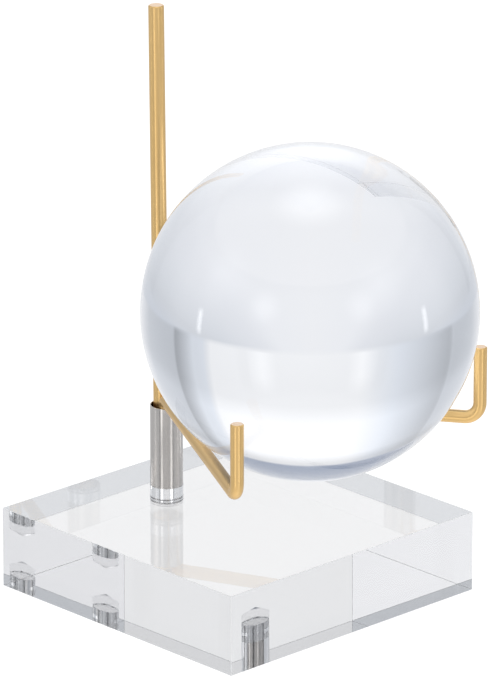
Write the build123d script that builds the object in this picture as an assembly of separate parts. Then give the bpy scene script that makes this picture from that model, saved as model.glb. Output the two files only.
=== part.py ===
from build123d import *
import math
import os

# Crystal ball on a display stand: an acrylic block, a steel sleeve glued into it,
# a straight brass post behind the ball and two bent brass arms that cradle it.
# Millimetres, +Z up. The origin is the middle of the block's underside, the front is -Y,
# and left and right are as seen from the front.

# acrylic base block
BLOCK_SIDE = 80.0
BLOCK_HEIGHT = 20.0
BLOCK_CHAMFER = 0.3

# blind hole for the sleeve, near the middle of the block's back edge
HOLE_Y = 25.0
HOLE_RADIUS = 4.1
HOLE_DEPTH = 15.0
DRILL_POINT_ANGLE = 135.0

# stainless steel sleeve, bonded into the hole
SLEEVE_RADIUS = 4.0
SLEEVE_WALL = 0.25
SLEEVE_IN_BLOCK = 13.0
SLEEVE_ABOVE_BLOCK = 20.5
SLEEVE_EDGE_BREAK = 0.06

# clear adhesive: fills the hole under the sleeve and rises round its foot, with a ring of
# trapped air against the wall of the hole
BOND_RISE = 4.3
AIR_RING_ABOVE_FOOT = 1.8
AIR_RING_HEIGHT = 0.9
AIR_RING_DEPTH = 0.05

# brass rods: three of them fill the sleeve, with a running fit between neighbours
FIT = 0.04
POST_RADIUS = 1.9
ARM_RADIUS = 1.6
ROD_CHAMFER = 0.25

# straight post, set very slightly back above the sleeve
POST_TOP = 140.5
POST_LEAN = 0.7
POST_BEND_ABOVE_SLEEVE = 1.0
POST_BEND_RADIUS = 190.0
POST_FOOT_GAP = 0.5

# bent arms: leg in the sleeve, rising run under the ball, upright hook; both are bent alike,
# and each is turned out from straight ahead by its own angle
LEG_LENGTH = 33.0
RUN_LENGTH = 76.6
RUN_RISE = 3.0
HOOK_HEIGHT = 18.0
SLEEVE_BEND_RADIUS = 2.0
HOOK_BEND_RADIUS = 4.0
LEFT_ARM_ANGLE = 30.4
RIGHT_ARM_ANGLE = 28.6

# glass ball, resting on the two runs
BALL_RADIUS = 40.0
BALL_Y = -25.6
BALL_CLEARANCE = 0.15

# levels and places that follow from the driving sizes
HOLE_FLOOR = BLOCK_HEIGHT - HOLE_DEPTH
DRILL_POINT_HEIGHT = HOLE_RADIUS / math.tan(math.radians(DRILL_POINT_ANGLE / 2))
SLEEVE_FOOT = BLOCK_HEIGHT - SLEEVE_IN_BLOCK
SLEEVE_TOP = BLOCK_HEIGHT + SLEEVE_ABOVE_BLOCK
BORE_RADIUS = SLEEVE_RADIUS - SLEEVE_WALL
POST_Y = HOLE_Y + BORE_RADIUS - POST_RADIUS - FIT
LEG_X = ARM_RADIUS + FIT / 2
LEG_REACH = BORE_RADIUS - ARM_RADIUS - FIT
LEG_Y = HOLE_Y - math.sqrt(LEG_REACH**2 - LEG_X**2)


def cylinder(radius, bottom, top, y=0.0):
    """An upright cylinder on the middle plane, from one level to another."""
    upright = Cylinder(radius, top - bottom, align=(Align.CENTER, Align.CENTER, Align.MIN))
    return Pos(0, y, bottom) * upright


def drilled_hole(top):
    """The space of the blind hole, from its conical drill point up to a level."""
    drill_point = Cone(0, HOLE_RADIUS, DRILL_POINT_HEIGHT, align=(Align.CENTER, Align.CENTER, Align.MAX))
    return cylinder(HOLE_RADIUS, HOLE_FLOOR, top, HOLE_Y) + Pos(0, HOLE_Y, HOLE_FLOOR) * drill_point


def base_block():
    """Square block with softened edges and a drilled blind hole."""
    block = Box(BLOCK_SIDE, BLOCK_SIDE, BLOCK_HEIGHT, align=(Align.CENTER, Align.CENTER, Align.MIN))
    block = chamfer(block.edges(), BLOCK_CHAMFER)
    return block - drilled_hole(BLOCK_HEIGHT + 1)


def sleeve_tube():
    """Thin tube from near the bottom of the hole to well above the block."""
    tube = cylinder(SLEEVE_RADIUS, SLEEVE_FOOT, SLEEVE_TOP, HOLE_Y)
    tube -= cylinder(BORE_RADIUS, SLEEVE_FOOT - 1, SLEEVE_TOP + 1, HOLE_Y)
    rim = tube.edges().group_by(Axis.Z)[-1]
    return chamfer(rim, SLEEVE_EDGE_BREAK)


def sleeve_adhesive():
    """Cured adhesive under the sleeve and round its foot, less the ring of trapped air."""
    bond_top = SLEEVE_FOOT + BOND_RISE
    fill = drilled_hole(bond_top) - cylinder(SLEEVE_RADIUS, SLEEVE_FOOT, bond_top + 1, HOLE_Y)
    air_bottom = SLEEVE_FOOT + AIR_RING_ABOVE_FOOT
    air_top = air_bottom + AIR_RING_HEIGHT
    air_ring = cylinder(HOLE_RADIUS + 1, air_bottom, air_top, HOLE_Y)
    air_ring -= cylinder(HOLE_RADIUS - AIR_RING_DEPTH, air_bottom, air_top, HOLE_Y)
    return fill - air_ring


def rod(path, radius):
    """Round rod swept along a path that starts straight up, with both ends chamfered."""
    section = Plane(origin=path @ 0, z_dir=path % 0) * Circle(radius)
    bar = sweep(section, path=path)
    ends = bar.edges().filter_by(GeomType.CIRCLE).sort_by_distance(path @ 0)[0:1]
    ends += bar.edges().filter_by(GeomType.CIRCLE).sort_by_distance(path @ 1)[0:1]
    return chamfer(ends, ROD_CHAMFER)


def back_post():
    """Tall rod, upright in the sleeve and leaning back a little above it."""
    bottom = SLEEVE_FOOT + POST_FOOT_GAP
    bend = SLEEVE_TOP + POST_BEND_ABOVE_SLEEVE
    top_y = POST_Y + (POST_TOP - bend) * math.tan(math.radians(POST_LEAN))
    corners = [(0, POST_Y, bottom), (0, POST_Y, bend), (0, top_y, POST_TOP)]
    return rod(FilletPolyline(*corners, radius=POST_BEND_RADIUS), POST_RADIUS)


def arm_corners(side, angle):
    """The corners of an arm's centre line; side is -1 for left and +1 for right."""
    turned_out = math.radians(angle)
    run_start = Vector(side * LEG_X, LEG_Y, SLEEVE_TOP + SLEEVE_BEND_RADIUS)
    run = Vector(side * RUN_LENGTH * math.sin(turned_out), -RUN_LENGTH * math.cos(turned_out), RUN_RISE)
    leg = Vector(0, 0, LEG_LENGTH)
    hook = Vector(0, 0, HOOK_HEIGHT)
    return [run_start - leg, run_start, run_start + run, run_start + run + hook]


def arm(side, angle):
    """Bent rod: leg, run and hook in one upright plane."""
    path = FilletPolyline(*arm_corners(side, angle), radius=[SLEEVE_BEND_RADIUS, HOOK_BEND_RADIUS])
    return rod(path, ARM_RADIUS)


def gap_to_run(centre, corners):
    """How far the ball's surface is from the surface of an arm's run."""
    start, end = corners[1], corners[2]
    along = (end - start).normalized()
    offset = centre - start
    return (offset - along * offset.dot(along)).length - BALL_RADIUS - ARM_RADIUS


def resting_centre(left, right):
    """The ball's centre, as far forward as BALL_Y says and equally clear of both runs."""
    centre = Vector(0, BALL_Y, SLEEVE_TOP + BALL_RADIUS)
    for _ in range(60):
        left_error = gap_to_run(centre, left) - BALL_CLEARANCE
        right_error = gap_to_run(centre, right) - BALL_CLEARANCE
        centre += Vector((right_error - left_error) / 2, 0, -(left_error + right_error) / 2)
    return centre


def crystal_ball():
    """Solid glass ball on the two runs."""
    left = arm_corners(-1, LEFT_ARM_ANGLE)
    right = arm_corners(1, RIGHT_ARM_ANGLE)
    centre = resting_centre(left, right)
    print("ball centre", centre, "gaps", gap_to_run(centre, left), gap_to_run(centre, right))
    return Pos(centre) * Sphere(BALL_RADIUS)


PARTS = {
    "base_block": base_block(),
    "sleeve_tube": sleeve_tube(),
    "sleeve_adhesive": sleeve_adhesive(),
    "back_post": back_post(),
    "left_arm": arm(-1, LEFT_ARM_ANGLE),
    "right_arm": arm(1, RIGHT_ARM_ANGLE),
    "crystal_ball": crystal_ball(),
}

os.makedirs("parts", exist_ok=True)
for node, shape in PARTS.items():
    shape.label = node
    export_step(shape, f"parts/{node}.step")
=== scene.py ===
import math

import bmesh
import bpy
from mathutils import Matrix, Vector


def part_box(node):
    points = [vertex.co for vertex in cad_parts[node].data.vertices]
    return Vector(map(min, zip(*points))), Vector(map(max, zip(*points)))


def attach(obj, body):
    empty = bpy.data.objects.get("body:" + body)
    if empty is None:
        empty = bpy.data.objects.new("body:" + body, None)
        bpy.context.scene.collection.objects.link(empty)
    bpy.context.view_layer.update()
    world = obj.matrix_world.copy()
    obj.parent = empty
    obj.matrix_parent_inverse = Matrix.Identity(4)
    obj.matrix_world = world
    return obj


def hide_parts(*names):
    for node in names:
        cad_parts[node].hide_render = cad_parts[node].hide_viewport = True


# Crystal ball on its display stand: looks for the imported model. Metres, +Z up, front is -Y.

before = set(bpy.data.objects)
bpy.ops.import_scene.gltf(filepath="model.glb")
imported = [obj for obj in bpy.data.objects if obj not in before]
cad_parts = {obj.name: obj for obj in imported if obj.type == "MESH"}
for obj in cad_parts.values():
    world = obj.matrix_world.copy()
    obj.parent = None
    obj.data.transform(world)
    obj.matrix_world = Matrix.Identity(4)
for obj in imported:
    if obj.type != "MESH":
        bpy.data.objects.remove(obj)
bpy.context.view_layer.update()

# sizes that the frame's boxes don't give
BLOCK_EDGE = 0.00006
EDGE_SEGMENTS = 3
DRILL_POINT_ANGLE = 135.0
SLEEVE_WALL = 0.00025
SLEEVE_EDGE = 0.00006
AIR_RING_ABOVE_FOOT = 0.0018
AIR_RING_HEIGHT = 0.0009
AIR_RING_DEPTH = 0.00005
POST_RADIUS = 0.0019
POST_BEND_ABOVE_SLEEVE = 0.001
POST_BEND_RADIUS = 0.19
ARM_RADIUS = 0.0016
LEG_LENGTH = 0.033
HOOK_HEIGHT = 0.018
SLEEVE_BEND_RADIUS = 0.002
HOOK_BEND_RADIUS = 0.004
ROD_CHAMFER = 0.00025

# the gap that keeps the adhesive off its neighbours, how far the cutter stands inside the sleeve's
# foot and past the block's top, and how far outside the drilled wall its roughness reaches
GLUE_INSET = 0.00001
FOOT_INSET = 0.0001
PAST_BLOCK = 0.001
WALL_MARGIN = 0.00005

# the block's broad faces: how square to an axis they are, and their least area
SQUARE_ON = 0.9999
BROAD_AREA = 1e-6

# how finely curved shapes are divided
BALL_CUTS = 95
ROD_SIDES = 64
TURNED_SIDES = 128

# refractive indices; the adhesive's is relative to the acrylic round it
GLASS_INDEX = 1.517
ACRYLIC_INDEX = 1.49
ADHESIVE_INDEX = 1.012

# the camera: angles in degrees about a point on the stand's axis, distances in metres
CAMERA_AZIMUTH = -43.56
CAMERA_ELEVATION = 19.46
CAMERA_DISTANCE = 1.6758
CAMERA_LENS = 371.1
CAMERA_HEIGHT = 0.040
CAMERA_RIGHT = 0.0018
CAMERA_UP = 0.0221
SENSOR_WIDTH = 36

# the light tent: brightness, and its lamps as (azimuth, elevation, spread, strength)
WALL_STRENGTH = 1.28
UNDERSIDE_STRENGTH = 1.35
SEAM_SHADE = 0.45
TUBE_STRENGTH = 5.0
SOFT_LAMPS = (
    (180, 82, 24, 2.4),
    (-72, 27, 24, 0.8),
    (57, 27, 24, 0.8),
    (-33, 19, 14, 1.5),
    (36, 19, 14, 1.3),
)
CEILING_BACK = (0.26, 0.31, 0.42)
CEILING_FRONT = (0.84, 0.83, 0.82)
WHITE_CLOTH = (0.84, 0.84, 0.85)


# ---------------------------------------------------------------- nodes

def new_material(name):
    """A material with its node tree and Principled shader."""
    material = bpy.data.materials.new(name)
    material.use_nodes = True
    tree = material.node_tree
    return material, tree, tree.nodes["Principled BSDF"]


def add(tree, kind, inputs=None, **settings):
    """Adds a node, sets its fields and its inputs, linking those that are sockets."""
    node = tree.nodes.new(kind)
    for key, value in settings.items():
        setattr(node, key, value)
    for key, value in (inputs or {}).items():
        if isinstance(value, bpy.types.NodeSocket):
            tree.links.new(value, node.inputs[key])
        else:
            node.inputs[key].default_value = value
    return node


def calculate(tree, operation, first, second=0.0, third=0.0):
    """One sum on numbers or sockets."""
    node = add(tree, "ShaderNodeMath", {0: first, 1: second, 2: third}, operation=operation)
    return node.outputs[0]


def noise(tree, place, scale, stretch=(1, 1, 1), detail=3.0, roughness=0.55):
    """Noise over a place, stretched along its axes; gives the value socket."""
    mapping = add(tree, "ShaderNodeMapping", {"Vector": place, "Scale": stretch})
    made = add(
        tree, "ShaderNodeTexNoise",
        {"Vector": mapping.outputs["Vector"], "Scale": scale, "Detail": detail, "Roughness": roughness},
    )
    return made.outputs["Fac"]


def ramp(tree, value, stops, start=0.0, end=1.0):
    """A colour ramp through (place, colour) stops, with places counted from start to end."""
    share = remap(tree, value, 0.0, 1.0, start, end)
    node = add(tree, "ShaderNodeValToRGB", {"Fac": share})
    elements = node.color_ramp.elements
    while len(elements) < len(stops):
        elements.new(0.5)
    for element, (place, colour) in zip(elements, stops):
        element.position = (place - start) / (end - start)
        element.color = (*colour, 1)
    return node.outputs["Color"]


def grey_ramp(tree, value, stops, start, end):
    """A ramp of plain numbers."""
    return ramp(tree, value, [(place, (grey, grey, grey)) for place, grey in stops], start, end)


def remap(tree, value, low, high, start=0.0, end=1.0):
    """A number moved from one range to another."""
    node = add(
        tree, "ShaderNodeMapRange",
        {"Value": value, "From Min": start, "From Max": end, "To Min": low, "To Max": high},
    )
    return node.outputs["Result"]


def scale_colour(tree, colour, factor):
    node = add(tree, "ShaderNodeVectorMath", {0: colour, "Scale": factor}, operation="SCALE")
    return node.outputs["Vector"]


def multiply_colours(tree, first, second):
    node = add(tree, "ShaderNodeVectorMath", {0: first, 1: second}, operation="MULTIPLY")
    return node.outputs["Vector"]


def add_colours(tree, first, second):
    node = add(tree, "ShaderNodeVectorMath", {0: first, 1: second}, operation="ADD")
    return node.outputs["Vector"]


def mix_colours(tree, share, first, second):
    node = add(tree, "ShaderNodeMix", {0: share, 6: first, 7: second}, data_type="RGBA")
    return node.outputs[2]


def object_place(tree):
    return add(tree, "ShaderNodeTexCoord").outputs["Object"]


# ---------------------------------------------------------------- materials

def glass_material():
    """Polished optical glass with a cool body tint."""
    material, tree, shader = new_material("crystal_glass")
    place = object_place(tree)
    shader.inputs["Transmission Weight"].default_value = 1.0
    shader.inputs["IOR"].default_value = GLASS_INDEX
    cool_tints = [(0.3, (0.925, 0.94, 0.972)), (0.7, (0.94, 0.953, 0.985))]
    tree.links.new(ramp(tree, noise(tree, place, 18.0), cool_tints), shader.inputs["Base Color"])
    haze = remap(tree, noise(tree, place, 60.0), 0.0, 0.01, 0.45, 0.8)
    tree.links.new(haze, shader.inputs["Roughness"])
    return material


def acrylic_material(hole_axis, hole_radius):
    """Polished cast acrylic that absorbs a little, drilled rough in the hole and rubbed at its edges."""
    material, tree, shader = new_material("clear_acrylic")
    place = object_place(tree)
    shader.inputs["IOR"].default_value = ACRYLIC_INDEX
    clear_tints = [(0.3, (0.975, 0.978, 0.982)), (0.7, (0.985, 0.987, 0.99))]
    tree.links.new(ramp(tree, noise(tree, place, 25.0), clear_tints), shader.inputs["Base Color"])
    from_axis = add(
        tree, "ShaderNodeVectorMath", {0: place, 1: (hole_axis.x, hole_axis.y, 0)}, operation="SUBTRACT",
    ).outputs["Vector"]
    level = add(tree, "ShaderNodeVectorMath", {0: from_axis, 1: (1, 1, 0)}, operation="MULTIPLY")
    distance = add(tree, "ShaderNodeVectorMath", {0: level.outputs["Vector"]}, operation="LENGTH")
    drilled = calculate(tree, "LESS_THAN", distance.outputs["Value"], hole_radius + WALL_MARGIN)
    marks = noise(tree, place, 900.0, stretch=(0.02, 0.02, 1.0), detail=2.0)
    drilled_roughness = calculate(tree, "MULTIPLY", drilled, remap(tree, marks, 0.04, 0.14, 0.3, 0.7))
    rubbed = add(tree, "ShaderNodeAttribute", attribute_name="rubbed_edge").outputs["Fac"]
    scuffs = remap(tree, noise(tree, place, 400.0), 0.3, 0.5, 0.3, 0.7)
    rubbed_roughness = calculate(tree, "MULTIPLY", rubbed, scuffs)
    tree.links.new(calculate(tree, "ADD", drilled_roughness, rubbed_roughness), shader.inputs["Roughness"])
    tree.links.new(remap(tree, rubbed, 1.0, 0.2), shader.inputs["Transmission Weight"])
    body = add(tree, "ShaderNodeVolumeAbsorption", {"Color": (0.32, 0.33, 0.36, 1), "Density": 4.7})
    tree.links.new(body.outputs["Volume"], tree.nodes["Material Output"].inputs["Volume"])
    return material


def adhesive_material():
    """Cured adhesive inside the acrylic: nearly the same index, faintly cloudy."""
    material, tree, shader = new_material("cured_adhesive")
    place = object_place(tree)
    shader.inputs["Transmission Weight"].default_value = 0.93
    shader.inputs["IOR"].default_value = ADHESIVE_INDEX
    cloud = ramp(tree, noise(tree, place, 700.0), [(0.35, (0.94, 0.94, 0.945)), (0.65, (0.98, 0.98, 0.98))])
    tree.links.new(cloud, shader.inputs["Base Color"])
    bubbles = noise(tree, place, 1200.0)
    tree.links.new(remap(tree, bubbles, 0.05, 0.2, 0.3, 0.7), shader.inputs["Roughness"])
    return material


def drawn_metal(name, colours, roughness, anisotropy, streaks):
    """Drawn metal: satin along its length, with long soft streaks from the die. Gives its parts too."""
    material, tree, shader = new_material(name)
    grain = add(tree, "ShaderNodeAttribute", attribute_name="grain").outputs["Vector"]
    lines = noise(tree, grain, 1.0, stretch=streaks, detail=2.0)
    tone = noise(tree, grain, 1.0, stretch=(0.8, 0.8, 40.0), detail=1.0)
    mixed = calculate(tree, "MULTIPLY_ADD", lines, 0.7, calculate(tree, "MULTIPLY", tone, 0.3))
    dark, middle, light = colours
    colour = ramp(tree, mixed, [(0.35, dark), (0.5, middle), (0.65, light)])
    tree.links.new(colour, shader.inputs["Base Color"])
    tree.links.new(remap(tree, lines, roughness[0], roughness[1], 0.3, 0.7), shader.inputs["Roughness"])
    shader.inputs["Metallic"].default_value = 1.0
    shader.inputs["Anisotropic"].default_value = anisotropy
    shader.inputs["Anisotropic Rotation"].default_value = 0.25
    tangent = add(tree, "ShaderNodeTangent", direction_type="UV_MAP", uv_map="along").outputs["Tangent"]
    tree.links.new(tangent, shader.inputs["Tangent"])
    return material, tree, shader


def steel_material(bond_top):
    """Drawn stainless, with a painted brightening where it is glued: a light grey base colour there stands in
    for light reaching the foot through the acrylic, and it is a little rougher there.
    """
    colours = [(0.54, 0.51, 0.48), (0.58, 0.55, 0.52), (0.62, 0.59, 0.56)]
    material, tree, shader = drawn_metal("stainless_steel", colours, (0.20, 0.24), 0.9, (3.0, 3.0, 12.0))
    height = add(tree, "ShaderNodeSeparateXYZ", {0: object_place(tree)}).outputs["Z"]
    # painted light: below the glue line the base colour turns light grey in place of the light that reaches
    # the foot inside the hole
    glued = calculate(tree, "LESS_THAN", height, bond_top)
    drawn = shader.inputs["Base Color"].links[0].from_socket
    tree.links.new(mix_colours(tree, glued, drawn, (0.88, 0.88, 0.88, 1)), shader.inputs["Base Color"])
    drawn_roughness = shader.inputs["Roughness"].links[0].from_socket
    tree.links.new(calculate(tree, "MULTIPLY_ADD", glued, 0.05, drawn_roughness), shader.inputs["Roughness"])
    return material


def brass_material():
    colours = [(0.78, 0.51, 0.205), (0.81, 0.54, 0.225), (0.84, 0.57, 0.25)]
    return drawn_metal("drawn_brass", colours, (0.30, 0.36), 0.4, (1.6, 1.6, 8.0))[0]


def cut_brass_painted_highlight_material():
    """The sawn and deburred ends: the saw marks and roughness are the cut finish, and the colour paler than
    the drawn skin is a painted highlight for the light the end faces catch.
    """
    material, tree, shader = new_material("cut_brass_painted_highlight")
    place = object_place(tree)
    marks = noise(tree, place, 1500.0, stretch=(1.0, 0.1, 1.0))
    # painted highlight: the end faces get a pale pinkish base colour in place of the light falling on them
    colour = ramp(tree, marks, [(0.3, (0.86, 0.62, 0.42)), (0.7, (0.96, 0.78, 0.60))])
    tree.links.new(colour, shader.inputs["Base Color"])
    tree.links.new(remap(tree, marks, 0.30, 0.42, 0.3, 0.7), shader.inputs["Roughness"])
    shader.inputs["Metallic"].default_value = 1.0
    return material


# ---------------------------------------------------------------- mesh builders

def finish_mesh(name, mesh_data, materials, sharp_angle=35.0):
    """Puts a bmesh into a new object, smooth but for edges sharper than an angle."""
    mesh = bpy.data.meshes.new(name)
    mesh_data.to_mesh(mesh)
    mesh_data.free()
    for material in materials:
        mesh.materials.append(material)
    mesh.polygons.foreach_set("use_smooth", [True] * len(mesh.polygons))
    mesh.set_sharp_from_angle(angle=math.radians(sharp_angle))
    made = bpy.data.objects.new(name, mesh)
    bpy.context.scene.collection.objects.link(made)
    return made


def add_run(points, end, run_step):
    """Extends a list of points in a straight line, in equal steps."""
    start = points[-1]
    count = max(1, round((end - start).length / run_step))
    for step in range(1, count + 1):
        points.append(start.lerp(end, step / count))


def path_with_arcs(corners, radii, arc_steps=20, run_step=0.002):
    """Points along straight runs joined by tangent arcs."""
    points = [corners[0]]
    for before, corner, after, radius in zip(corners, corners[1:], corners[2:], radii):
        come = (corner - before).normalized()
        go = (after - corner).normalized()
        turn = come.angle(go)
        start = corner - come * radius * math.tan(turn / 2)
        axis = come.cross(go).normalized()
        centre = start + axis.cross(come) * radius
        add_run(points, start, run_step)
        for step in range(1, arc_steps + 1):
            spin = Matrix.Rotation(turn * step / arc_steps, 3, axis)
            points.append(centre + spin @ (start - centre))
    add_run(points, corners[-1], run_step)
    return points


class RingMesh:
    """A mesh of rings of points, with the layers that the drawn metals read."""

    def __init__(self, sides):
        self.sides = sides
        self.mesh = bmesh.new()
        self.uv = self.mesh.loops.layers.uv.new("along")
        self.grain = self.mesh.verts.layers.float_vector.new("grain")

    def ring(self, place, along):
        """Adds a ring: place gives a point for an angle, along is the distance from the start."""
        points = []
        for step in range(self.sides):
            angle = 2 * math.pi * step / self.sides
            vertex = self.mesh.verts.new(place(angle))
            vertex[self.grain] = (math.cos(angle), math.sin(angle), along)
            points.append(vertex)
        return points

    def join(self, first, second, first_along, second_along):
        """Faces between two rings."""
        for step in range(self.sides):
            after = (step + 1) % self.sides
            face = self.mesh.faces.new((first[step], first[after], second[after], second[step]))
            left, right = step / self.sides, (step + 1) / self.sides
            corners = ((left, first_along), (right, first_along), (right, second_along), (left, second_along))
            for loop, corner in zip(face.loops, corners):
                loop[self.uv].uv = corner

    def cap(self, ring, slot):
        face = self.mesh.faces.new(ring)
        face.material_index = slot


def swept_rod(name, path, radius, materials, sides=ROD_SIDES):
    """A round rod along a path, with chamfered, capped ends."""
    tangents = []
    for index in range(len(path)):
        before = path[max(index - 1, 0)]
        after = path[min(index + 1, len(path) - 1)]
        tangents.append((after - before).normalized())
    first, last = tangents[0], tangents[-1]
    stations = [(path[0], first, radius - ROD_CHAMFER), (path[0] + first * ROD_CHAMFER, first, radius)]
    stations += [(point, tangent, radius) for point, tangent in zip(path[1:-1], tangents[1:-1])]
    stations += [(path[-1] - last * ROD_CHAMFER, last, radius), (path[-1], last, radius - ROD_CHAMFER)]
    rod = RingMesh(sides)
    side = first.orthogonal().normalized()
    rings, lengths, travelled = [], [], 0.0
    for index, (centre, tangent, ring_radius) in enumerate(stations):
        side = (side - tangent * side.dot(tangent)).normalized()
        up = tangent.cross(side)
        if index:
            travelled += (centre - stations[index - 1][0]).length
        lengths.append(travelled)
        rings.append(rod.ring(
            lambda angle: centre + (side * math.cos(angle) + up * math.sin(angle)) * ring_radius, travelled,
        ))
    for index in range(len(rings) - 1):
        rod.join(rings[index], rings[index + 1], lengths[index], lengths[index + 1])
    rod.cap(rings[0][::-1], 1)
    rod.cap(rings[-1], 1)
    return finish_mesh(name, rod.mesh, materials)


def turned(name, profile, axis, materials, sides=TURNED_SIDES):
    """A profile of (radius, height) points turned about an upright axis, as one closed surface.

    A profile that starts and ends at radius 0 closes there with caps, and any other is a loop."""
    turning = RingMesh(sides)
    solid = profile[0][0] == 0
    levels = profile[1:-1] if solid else profile
    rings = []
    for radius, height in levels:
        rings.append(turning.ring(
            lambda angle: (axis.x + radius * math.cos(angle), axis.y + radius * math.sin(angle), height),
            height,
        ))
    pairs = len(levels) - 1 if solid else len(levels)
    for index in range(pairs):
        other = (index + 1) % len(levels)
        turning.join(rings[index], rings[other], levels[index][1], levels[other][1])
    if solid:
        for (_, height), ring in ((profile[0], rings[0]), (profile[-1], rings[-1])):
            pole = turning.mesh.verts.new((axis.x, axis.y, height))
            for step in range(sides):
                turning.mesh.faces.new((pole, ring[step], ring[(step + 1) % sides]))
    bmesh.ops.recalc_face_normals(turning.mesh, faces=turning.mesh.faces)
    return finish_mesh(name, turning.mesh, materials)


def stands_for(made, node, body):
    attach(made, body)
    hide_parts(node)


# ---------------------------------------------------------------- the pieces

def crystal_ball():
    """The ball as an evenly divided cube pushed out to an exact sphere."""
    low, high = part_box("crystal_ball")
    centre, radius = (low + high) / 2, (high.z - low.z) / 2
    mesh_data = bmesh.new()
    bmesh.ops.create_cube(mesh_data, size=2.0)
    bmesh.ops.subdivide_edges(mesh_data, edges=mesh_data.edges, cuts=BALL_CUTS, use_grid_fill=True)
    for vertex in mesh_data.verts:
        spread = Vector([math.tan(c * math.pi / 4) for c in vertex.co])
        vertex.co = centre + spread.normalized() * radius
    made = finish_mesh("crystal_ball_glass", mesh_data, [glass_material()], sharp_angle=180.0)
    stands_for(made, "crystal_ball", "ball")


def bonded_zone():
    """Where the hole, the sleeve and the adhesive meet: the axis, radii and levels."""
    bond_low, bond_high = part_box("sleeve_adhesive")
    sleeve_low, sleeve_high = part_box("sleeve_tube")
    hole_radius = (bond_high.x - bond_low.x) / 2
    air_bottom = sleeve_low.z + AIR_RING_ABOVE_FOOT
    return {
        "axis": (sleeve_low + sleeve_high) / 2,
        "hole": hole_radius,
        "sleeve": (sleeve_high.x - sleeve_low.x) / 2,
        "tip": bond_low.z,
        "hole_floor": bond_low.z + hole_radius / math.tan(math.radians(DRILL_POINT_ANGLE / 2)),
        "foot": sleeve_low.z,
        "air_bottom": air_bottom,
        "air_top": air_bottom + AIR_RING_HEIGHT,
        "bond_top": bond_high.z,
    }


def base_block():
    """The block with softened edges, cut out to the glue line since the adhesive is one body with it.

    Where the sleeve is glued, the hole's surface lies inside the sleeve's wall, so acrylic meets steel."""
    low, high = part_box("base_block")
    zone = bonded_zone()
    mesh_data = bmesh.new()
    bmesh.ops.create_cube(mesh_data, size=1.0)
    for vertex in mesh_data.verts:
        vertex.co = (low + high) / 2 + Vector([c * s for c, s in zip(vertex.co, high - low)])
    bmesh.ops.bevel(
        mesh_data, geom=mesh_data.edges[:], offset=BLOCK_EDGE, segments=EDGE_SEGMENTS,
        profile=0.5, affect="EDGES",
    )
    acrylic = acrylic_material(zone["axis"], zone["hole"])
    block = finish_mesh("base_block_acrylic", mesh_data, [acrylic])
    in_wall = zone["sleeve"] - SLEEVE_WALL / 2
    in_foot = zone["foot"] + FOOT_INSET
    above = high.z + PAST_BLOCK
    profile = [
        (0, in_foot), (in_wall, in_foot),
        (in_wall, zone["air_bottom"]), (zone["hole"], zone["air_bottom"]),
        (zone["hole"], zone["air_top"]), (in_wall, zone["air_top"]),
        (in_wall, zone["bond_top"]), (zone["hole"], zone["bond_top"]),
        (zone["hole"], above), (0, above),
    ]
    cutter = turned("drill", profile, zone["axis"], [acrylic])
    cut = block.modifiers.new("hole", "BOOLEAN")
    cut.object = cutter
    cut.solver = "EXACT"
    with bpy.context.temp_override(object=block, active_object=block, selected_objects=[block]):
        bpy.ops.object.modifier_apply(modifier="hole")
    bpy.data.objects.remove(cutter)
    block.data.set_sharp_from_angle(angle=math.radians(35))
    rubbed = block.data.attributes.new("rubbed_edge", "FLOAT", "FACE")
    for face, mark in zip(block.data.polygons, rubbed.data):
        outside = (face.center - zone["axis"]).xy.length > 2 * zone["hole"]
        level_or_upright = max(abs(c) for c in face.normal) > SQUARE_ON
        if level_or_upright and face.area > BROAD_AREA:
            face.use_smooth = False
        elif outside:
            mark.value = 1.0
    stands_for(block, "base_block", "stand")


def adhesive():
    """Cured adhesive: fills the drill point and the bottom of the hole and rises round the sleeve's foot."""
    zone = bonded_zone()
    inset = GLUE_INSET
    outer = zone["hole"] - inset
    waist = zone["hole"] - AIR_RING_DEPTH - inset
    inner = zone["sleeve"] + inset
    profile = [
        (0, zone["tip"] + inset), (outer, zone["hole_floor"] + inset),
        (outer, zone["air_bottom"] - inset), (waist, zone["air_bottom"] - inset),
        (waist, zone["air_top"] + inset), (outer, zone["air_top"] + inset),
        (outer, zone["bond_top"] - inset), (inner, zone["bond_top"] - inset),
        (inner, zone["foot"] - inset), (0, zone["foot"] - inset),
    ]
    made = turned("sleeve_adhesive_fill", profile, zone["axis"], [adhesive_material()])
    stands_for(made, "sleeve_adhesive", "stand")


def sleeve():
    """Thin tube with a lightly deburred rim."""
    low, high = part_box("sleeve_tube")
    outer = (high.x - low.x) / 2
    inner = outer - SLEEVE_WALL
    profile = [
        (outer, low.z), (outer, high.z - SLEEVE_EDGE), (outer - SLEEVE_EDGE, high.z),
        (inner + SLEEVE_EDGE, high.z), (inner, high.z - SLEEVE_EDGE), (inner, low.z),
    ]
    made = turned("sleeve_tube_steel", profile, (low + high) / 2, [steel_material(bonded_zone()["bond_top"])])
    stands_for(made, "sleeve_tube", "stand")


def arm(node, body, side, brass):
    """Bent rod: leg, rising run and hook; side is -1 for left and +1 for right."""
    low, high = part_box(node)
    leg_x = (high.x - ARM_RADIUS) if side < 0 else (low.x + ARM_RADIUS)
    hook_x = (low.x + ARM_RADIUS) if side < 0 else (high.x - ARM_RADIUS)
    leg_y = high.y - ARM_RADIUS
    hook_y = low.y + ARM_RADIUS
    corners = [
        Vector((leg_x, leg_y, low.z)),
        Vector((leg_x, leg_y, low.z + LEG_LENGTH)),
        Vector((hook_x, hook_y, high.z - HOOK_HEIGHT)),
        Vector((hook_x, hook_y, high.z)),
    ]
    path = path_with_arcs(corners, [SLEEVE_BEND_RADIUS, HOOK_BEND_RADIUS])
    stands_for(swept_rod(node + "_brass", path, ARM_RADIUS, brass), node, body)


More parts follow.
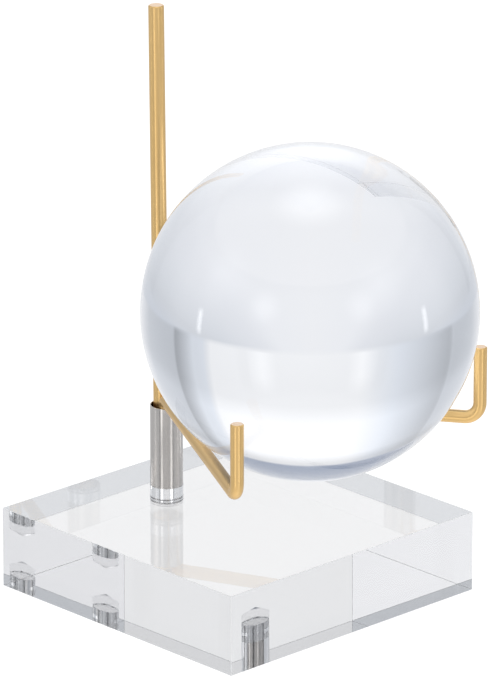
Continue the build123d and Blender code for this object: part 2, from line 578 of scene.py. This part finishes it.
def post(brass):
    """Straight rod, upright in the sleeve and leaning back a little above it."""
    low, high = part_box("back_post")
    _, sleeve_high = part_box("sleeve_tube")
    bend = sleeve_high.z + POST_BEND_ABOVE_SLEEVE
    middle_x = (low.x + high.x) / 2
    foot_y, top_y = low.y + POST_RADIUS, high.y - POST_RADIUS
    corners = [
        Vector((middle_x, foot_y, low.z)),
        Vector((middle_x, foot_y, bend)),
        Vector((middle_x, top_y, high.z)),
    ]
    path = path_with_arcs(corners, [POST_BEND_RADIUS])
    stands_for(swept_rod("back_post_brass", path, POST_RADIUS, brass), "back_post", "post")


# ---------------------------------------------------------------- studio

def camera():
    """Long lens, a little above the object, turned to its front left corner."""
    azimuth, elevation = math.radians(CAMERA_AZIMUTH), math.radians(CAMERA_ELEVATION)
    back = Vector((
        math.sin(azimuth) * math.cos(elevation),
        -math.cos(azimuth) * math.cos(elevation),
        math.sin(elevation),
    ))
    right = Vector((0, 0, 1)).cross(back).normalized()
    up = back.cross(right)
    data = bpy.data.cameras.new("camera")
    data.lens = CAMERA_LENS
    data.sensor_width = SENSOR_WIDTH
    data.clip_start, data.clip_end = 0.05, 50
    made = bpy.data.objects.new("camera", data)
    target = Vector((0, 0, CAMERA_HEIGHT)) + right * CAMERA_RIGHT + up * CAMERA_UP
    made.location = target + back * CAMERA_DISTANCE
    made.rotation_mode = "QUATERNION"
    made.rotation_quaternion = (-back).to_track_quat("-Z", "Y")
    bpy.context.scene.collection.objects.link(made)
    bpy.context.scene.camera = made


def floor():
    """A pale light table. Glass and metal see the tent's lit underside in its place."""
    mesh_data = bmesh.new()
    bmesh.ops.create_circle(mesh_data, cap_ends=True, radius=0.6, segments=128)
    material, tree, shader = new_material("pale_floor")
    greys = [(0.3, (0.27, 0.27, 0.27)), (0.7, (0.28, 0.28, 0.28))]
    shade = ramp(tree, noise(tree, object_place(tree), 6.0), greys)
    tree.links.new(shade, shader.inputs["Base Color"])
    shader.inputs["Roughness"].default_value = 0.8
    shader.inputs["Specular IOR Level"].default_value = 0.0
    shader.inputs["Emission Color"].default_value = (1, 1, 1, 1)
    shader.inputs["Emission Strength"].default_value = 0.92
    made = finish_mesh("floor", mesh_data, [material])
    made.location.z = -0.0001
    made.visible_glossy = False
    made.visible_transmission = False


def cool(grey):
    """The tent's cloth away from its lit back wall."""
    return (0.96 * grey, grey, 1.06 * grey)


def tent_walls(tree, azimuth, elevation):
    """The lit back wall, with a seam and its fold on each side, and the dimmer sides and front."""
    back_left = [
        (-180, (0.87, 0.87, 0.87)), (-168, (0.86, 0.86, 0.86)), (-158, cool(0.74)), (-150, cool(0.62)),
        (-145, cool(0.54)), (-140, cool(0.46)), (-136, cool(0.41)), (-135, cool(0.43)),
        (-134.5, cool(0.54)),
    ]
    sides_and_front = [
        (-133, cool(0.50)), (-115, cool(0.55)), (-98, WHITE_CLOTH), (-78, WHITE_CLOTH), (-62, cool(0.55)),
        (-46, cool(0.45)), (0, cool(0.5)), (46, cool(0.45)), (62, cool(0.55)), (78, WHITE_CLOTH),
        (98, WHITE_CLOTH), (115, cool(0.55)), (137, cool(0.5)),
    ]
    back_right = [
        (137.7, cool(0.34)), (139, cool(0.37)), (143, cool(0.52)), (147.5, cool(0.74)),
        (148.4, cool(0.38)), (149.3, cool(0.80)), (151.3, cool(0.64)), (152.3, (0.85, 0.85, 0.85)),
        (162, (0.87, 0.87, 0.87)), (180, (0.87, 0.87, 0.87)),
    ]
    walls = ramp(tree, azimuth, back_left + sides_and_front + back_right, -180, 180)
    by_height = grey_ramp(tree, elevation, [
        (-90, 0.86), (-10, 0.85), (0, 0.83), (5, 0.84), (12, 1.0), (28, 1.0), (34, 0.72), (90, 0.72),
    ], -90, 90)
    return scale_colour(tree, multiply_colours(tree, walls, by_height), WALL_STRENGTH)


def tent_underside(tree, azimuth, elevation, facing):
    """The table lit from below, fading to the sides, with bright slots and dark seams in front.

    The slots make the stripes on the upright rods and sleeve, and are kept to just below the horizon."""
    across = add(tree, "ShaderNodeSeparateXYZ", {0: facing}).outputs
    drop = calculate(tree, "MAXIMUM", calculate(tree, "MULTIPLY", across["Z"], -1.0), 0.05)
    sideways = calculate(tree, "DIVIDE", calculate(tree, "ABSOLUTE", across["X"]), drop)
    glow = ramp(tree, sideways, [
        (0.0, (0.93, 0.93, 0.935)), (0.65, (0.91, 0.915, 0.93)), (1.04, (0.83, 0.84, 0.865)),
        (2.0, (0.73, 0.75, 0.78)), (2.8, (0.66, 0.68, 0.71)), (4.4, (0.62, 0.65, 0.70)),
        (8.0, (0.56, 0.59, 0.64)),
    ], 0.0, 8.0)
    nearer = grey_ramp(tree, elevation, [
        (-90, 1.0), (-75, 0.95), (-64, 0.86), (-54, 0.77), (-40, 0.74), (90, 0.74),
    ], -90, 90)
    glow = scale_colour(tree, multiply_colours(tree, glow, nearer), UNDERSIDE_STRENGTH)
    seam_azimuth = grey_ramp(tree, azimuth, [
        (-52, 0.0), (-49, 1.0), (-43, 1.0), (-42, 0.0), (45, 0.0), (46, 1.0), (52, 1.0), (55, 0.0),
    ], -180, 180)
    slot_azimuth = grey_ramp(tree, azimuth, [
        (-43, 0.0), (-33, 1.9), (-23, 0.05), (25, 0.05), (35, 1.9), (45, 0.0),
    ], -180, 180)
    near_horizon = grey_ramp(tree, elevation, [(-40, 0.0), (-27, 1.0), (-9, 1.0), (-6, 0.0)], -90, 90)
    seams = remap(tree, multiply_colours(tree, seam_azimuth, near_horizon), 1.0, SEAM_SHADE)
    slots = multiply_colours(tree, slot_azimuth, near_horizon)
    return add_colours(tree, multiply_colours(tree, glow, seams), slots)


def soft_lamp(tree, facing, azimuth, elevation, spread, strength):
    """A round lamp with a soft edge, spread degrees wide from its middle to where it ends."""
    turn, rise = math.radians(azimuth), math.radians(elevation)
    towards = (math.sin(turn) * math.cos(rise), -math.cos(turn) * math.cos(rise), math.sin(rise))
    closeness = add(tree, "ShaderNodeVectorMath", {0: facing, 1: towards}, operation="DOT_PRODUCT")
    angle = calculate(tree, "ARCCOSINE", closeness.outputs["Value"])
    away = calculate(tree, "MULTIPLY", angle, math.degrees(1))
    fade = add(
        tree, "ShaderNodeMapRange",
        {"Value": away, "From Min": spread, "From Max": 0.0, "To Min": 0.0, "To Max": strength},
        interpolation_type="SMOOTHSTEP",
    )
    return fade.outputs["Result"]


def light_tent():
    """Light tent round the object: the glass and metal see it, and the background behind them is white.

    Azimuth counts from the camera, positive to its right, and elevation from the horizon, in degrees."""
    made = bpy.data.worlds.new("light_tent")
    made.use_nodes = True
    tree = made.node_tree
    place = add(tree, "ShaderNodeTexCoord").outputs["Generated"]
    facing = add(
        tree, "ShaderNodeMapping", {"Vector": place, "Rotation": (0, 0, -math.radians(CAMERA_AZIMUTH))},
    ).outputs["Vector"]
    across = add(tree, "ShaderNodeSeparateXYZ", {0: facing}).outputs
    towards = calculate(tree, "MULTIPLY", across["Y"], -1.0)
    azimuth = calculate(tree, "MULTIPLY", calculate(tree, "ARCTAN2", across["X"], towards), math.degrees(1))
    elevation = calculate(tree, "MULTIPLY", calculate(tree, "ARCSINE", across["Z"]), math.degrees(1))

    ceiling_share = grey_ramp(tree, elevation, [(35.5, 0.0), (37.0, 1.0)], -90, 90)
    underside_share = grey_ramp(tree, elevation, [(-10.5, 1.0), (-9.5, 0.0)], -90, 90)
    ceiling = ramp(tree, azimuth, [
        (-150, CEILING_BACK), (-115, CEILING_FRONT), (115, CEILING_FRONT), (150, CEILING_BACK),
    ], -180, 180)
    light = mix_colours(tree, ceiling_share, tent_walls(tree, azimuth, elevation), ceiling)
    light = mix_colours(tree, underside_share, light, tent_underside(tree, azimuth, elevation, facing))
    for lamp in SOFT_LAMPS:
        light = add_colours(tree, light, soft_lamp(tree, facing, *lamp))
    tube_azimuth = grey_ramp(tree, azimuth, [
        (-82, 0.0), (-81, 1.0), (-79, 1.0), (-78, 0.0), (81, 0.0), (82, 1.0), (84, 1.0), (85, 0.0),
    ], -180, 180)
    tube_height = grey_ramp(tree, elevation, [(-9, 0.0), (-6, 1.0), (3, 1.0), (6, 0.0)], -90, 90)
    tubes = scale_colour(tree, multiply_colours(tree, tube_azimuth, tube_height), TUBE_STRENGTH)
    light = add_colours(tree, light, tubes)

    seen_directly = add(tree, "ShaderNodeLightPath").outputs["Is Camera Ray"]
    shown = mix_colours(tree, seen_directly, light, (1, 1, 1, 1))
    tree.links.new(shown, tree.nodes["Background"].inputs["Color"])
    bpy.context.scene.world = made


def view_settings():
    """Plain colours, and light paths long enough for the block's many inner reflections."""
    scene = bpy.context.scene
    scene.view_settings.view_transform = "Standard"
    scene.cycles.max_bounces = 32
    scene.cycles.glossy_bounces = 16
    scene.cycles.transmission_bounces = 32


crystal_ball()
base_block()
adhesive()
sleeve()
brass = [brass_material(), cut_brass_painted_highlight_material()]
arm("left_arm", "left", -1, brass)
arm("right_arm", "right", 1, brass)
post(brass)
floor()
light_tent()
camera()
view_settings()
